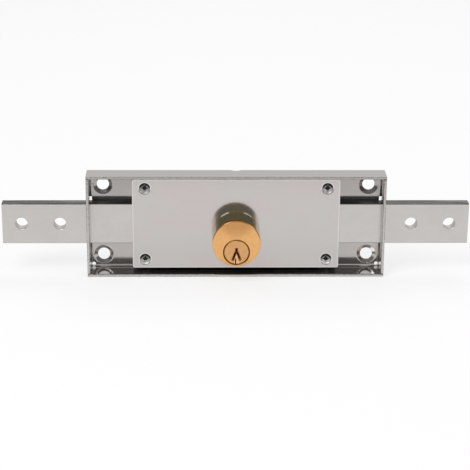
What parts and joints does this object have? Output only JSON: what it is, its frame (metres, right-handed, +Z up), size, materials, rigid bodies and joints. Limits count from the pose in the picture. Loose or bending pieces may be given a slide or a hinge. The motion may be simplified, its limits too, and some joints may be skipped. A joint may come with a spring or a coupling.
{
  "type": "roller shutter lock",
  "caption": "Surface lock for a roller shutter: folded sheet case, cover plate and flat bolts thrown by rack and pinion from a round brass pin tumbler cylinder.",
  "frame": {"origin": "middle of the mounting face at the back of the case", "axes": "+X to the right along the bolts, +Y out of the back towards the shutter, +Z up; the cylinder points along -Y"},
  "size_m": [0.2434, 0.025, 0.055],
  "materials": {
    "plated_sheet": "nickel plated, satin",
    "satin_plate": "satin",
    "bolt_steel": "satin",
    "turned_steel": "turned",
    "gear_steel": "milled",
    "screw_steel": "zinc plated",
    "cylinder_brass": "turned and polished",
    "plug_brass": "turned",
    "pin_brass": "turned",
    "spring_wire": "drawn wire"
  },
  "bodies": {
    "case_body": {"case": "plated_sheet", "cover_plate": "satin_plate", "cover_posts": "turned_steel", "cover_screws": "screw_steel", "guide_studs": "turned_steel", "cylinder_body": "cylinder_brass", "cylinder_spacers": "turned_steel", "cylinder_screws": "screw_steel", "chamber_plugs": "cylinder_brass", "pin_spring_1": "spring_wire", "pin_spring_2": "spring_wire", "pin_spring_3": "spring_wire", "pin_spring_4": "spring_wire", "pin_spring_5": "spring_wire"},
    "left_bolt_body": {"left_bolt": "bolt_steel", "left_rack": "gear_steel", "left_rivets": "turned_steel"},
    "right_bolt_body": {"right_bolt": "bolt_steel", "right_rack": "gear_steel", "right_rivets": "turned_steel"},
    "plug_body": {"plug": "plug_brass", "drive_pinion": "gear_steel", "tail_screw": "screw_steel"},
    "key_pin_body_1": {"key_pin_1": "pin_brass"},
    "driver_pin_body_1": {"driver_pin_1": "pin_brass"},
    "key_pin_body_2": {"key_pin_2": "pin_brass"},
    "driver_pin_body_2": {"driver_pin_2": "pin_brass"},
    "key_pin_body_3": {"key_pin_3": "pin_brass"},
    "driver_pin_body_3": {"driver_pin_3": "pin_brass"},
    "key_pin_body_4": {"key_pin_4": "pin_brass"},
    "driver_pin_body_4": {"driver_pin_4": "pin_brass"},
    "key_pin_body_5": {"key_pin_5": "pin_brass"},
    "driver_pin_body_5": {"driver_pin_5": "pin_brass"}
  },
  "joints": [
    {"name": "left_bolt_throw", "type": "slide", "parent": "case_body", "child": "left_bolt_body", "axis": [-1, 0, 0], "range_m": [0, 0.02199]},
    {"name": "plug_turn", "type": "hinge", "parent": "case_body", "child": "plug_body", "pos_m": [0, 0, -0.00975], "axis": [0, -1, 0], "range_deg": [0, 360]},
    {"name": "right_bolt_throw", "type": "slide", "parent": "case_body", "child": "right_bolt_body", "axis": [1, 0, 0], "range_m": [0, 0.02199]},
    {"name": "key_pin_1_lift", "type": "slide", "parent": "plug_body", "child": "key_pin_body_1", "axis": [0, 0, 1], "range_m": [0, 0.0016]},
    {"name": "driver_pin_1_lift", "type": "slide", "parent": "case_body", "child": "driver_pin_body_1", "axis": [0, 0, 1], "range_m": [0, 0.001], "stiffness_N_per_m": 60, "springref_m": -0.0015, "deforming": ["pin_spring_1"]},
    {"name": "key_pin_2_lift", "type": "slide", "parent": "plug_body", "child": "key_pin_body_2", "axis": [0, 0, 1], "range_m": [0, 0.0024]},
    {"name": "driver_pin_2_lift", "type": "slide", "parent": "case_body", "child": "driver_pin_body_2", "axis": [0, 0, 1], "range_m": [0, 0.001], "stiffness_N_per_m": 60, "springref_m": -0.0015, "deforming": ["pin_spring_2"]},
    {"name": "key_pin_3_lift", "type": "slide", "parent": "plug_body", "child": "key_pin_body_3", "axis": [0, 0, 1], "range_m": [0, 0.0012]},
    {"name": "driver_pin_3_lift", "type": "slide", "parent": "case_body", "child": "driver_pin_body_3", "axis": [0, 0, 1], "range_m": [0, 0.001], "stiffness_N_per_m": 60, "springref_m": -0.0015, "deforming": ["pin_spring_3"]},
    {"name": "key_pin_4_lift", "type": "slide", "parent": "plug_body", "child": "key_pin_body_4", "axis": [0, 0, 1], "range_m": [0, 0.002]},
    {"name": "driver_pin_4_lift", "type": "slide", "parent": "case_body", "child": "driver_pin_body_4", "axis": [0, 0, 1], "range_m": [0, 0.001], "stiffness_N_per_m": 60, "springref_m": -0.0015, "deforming": ["pin_spring_4"]},
    {"name": "key_pin_5_lift", "type": "slide", "parent": "plug_body", "child": "key_pin_body_5", "axis": [0, 0, 1], "range_m": [0, 0.0014]},
    {"name": "driver_pin_5_lift", "type": "slide", "parent": "case_body", "child": "driver_pin_body_5", "axis": [0, 0, 1], "range_m": [0, 0.001], "stiffness_N_per_m": 60, "springref_m": -0.0015, "deforming": ["pin_spring_5"]}
  ],
  "couplings": [
    {"joint": "plug_turn", "follows": "left_bolt_throw", "rad_per_m": 285.71},
    {"joint": "right_bolt_throw", "follows": "left_bolt_throw", "ratio": 1}
  ]
}
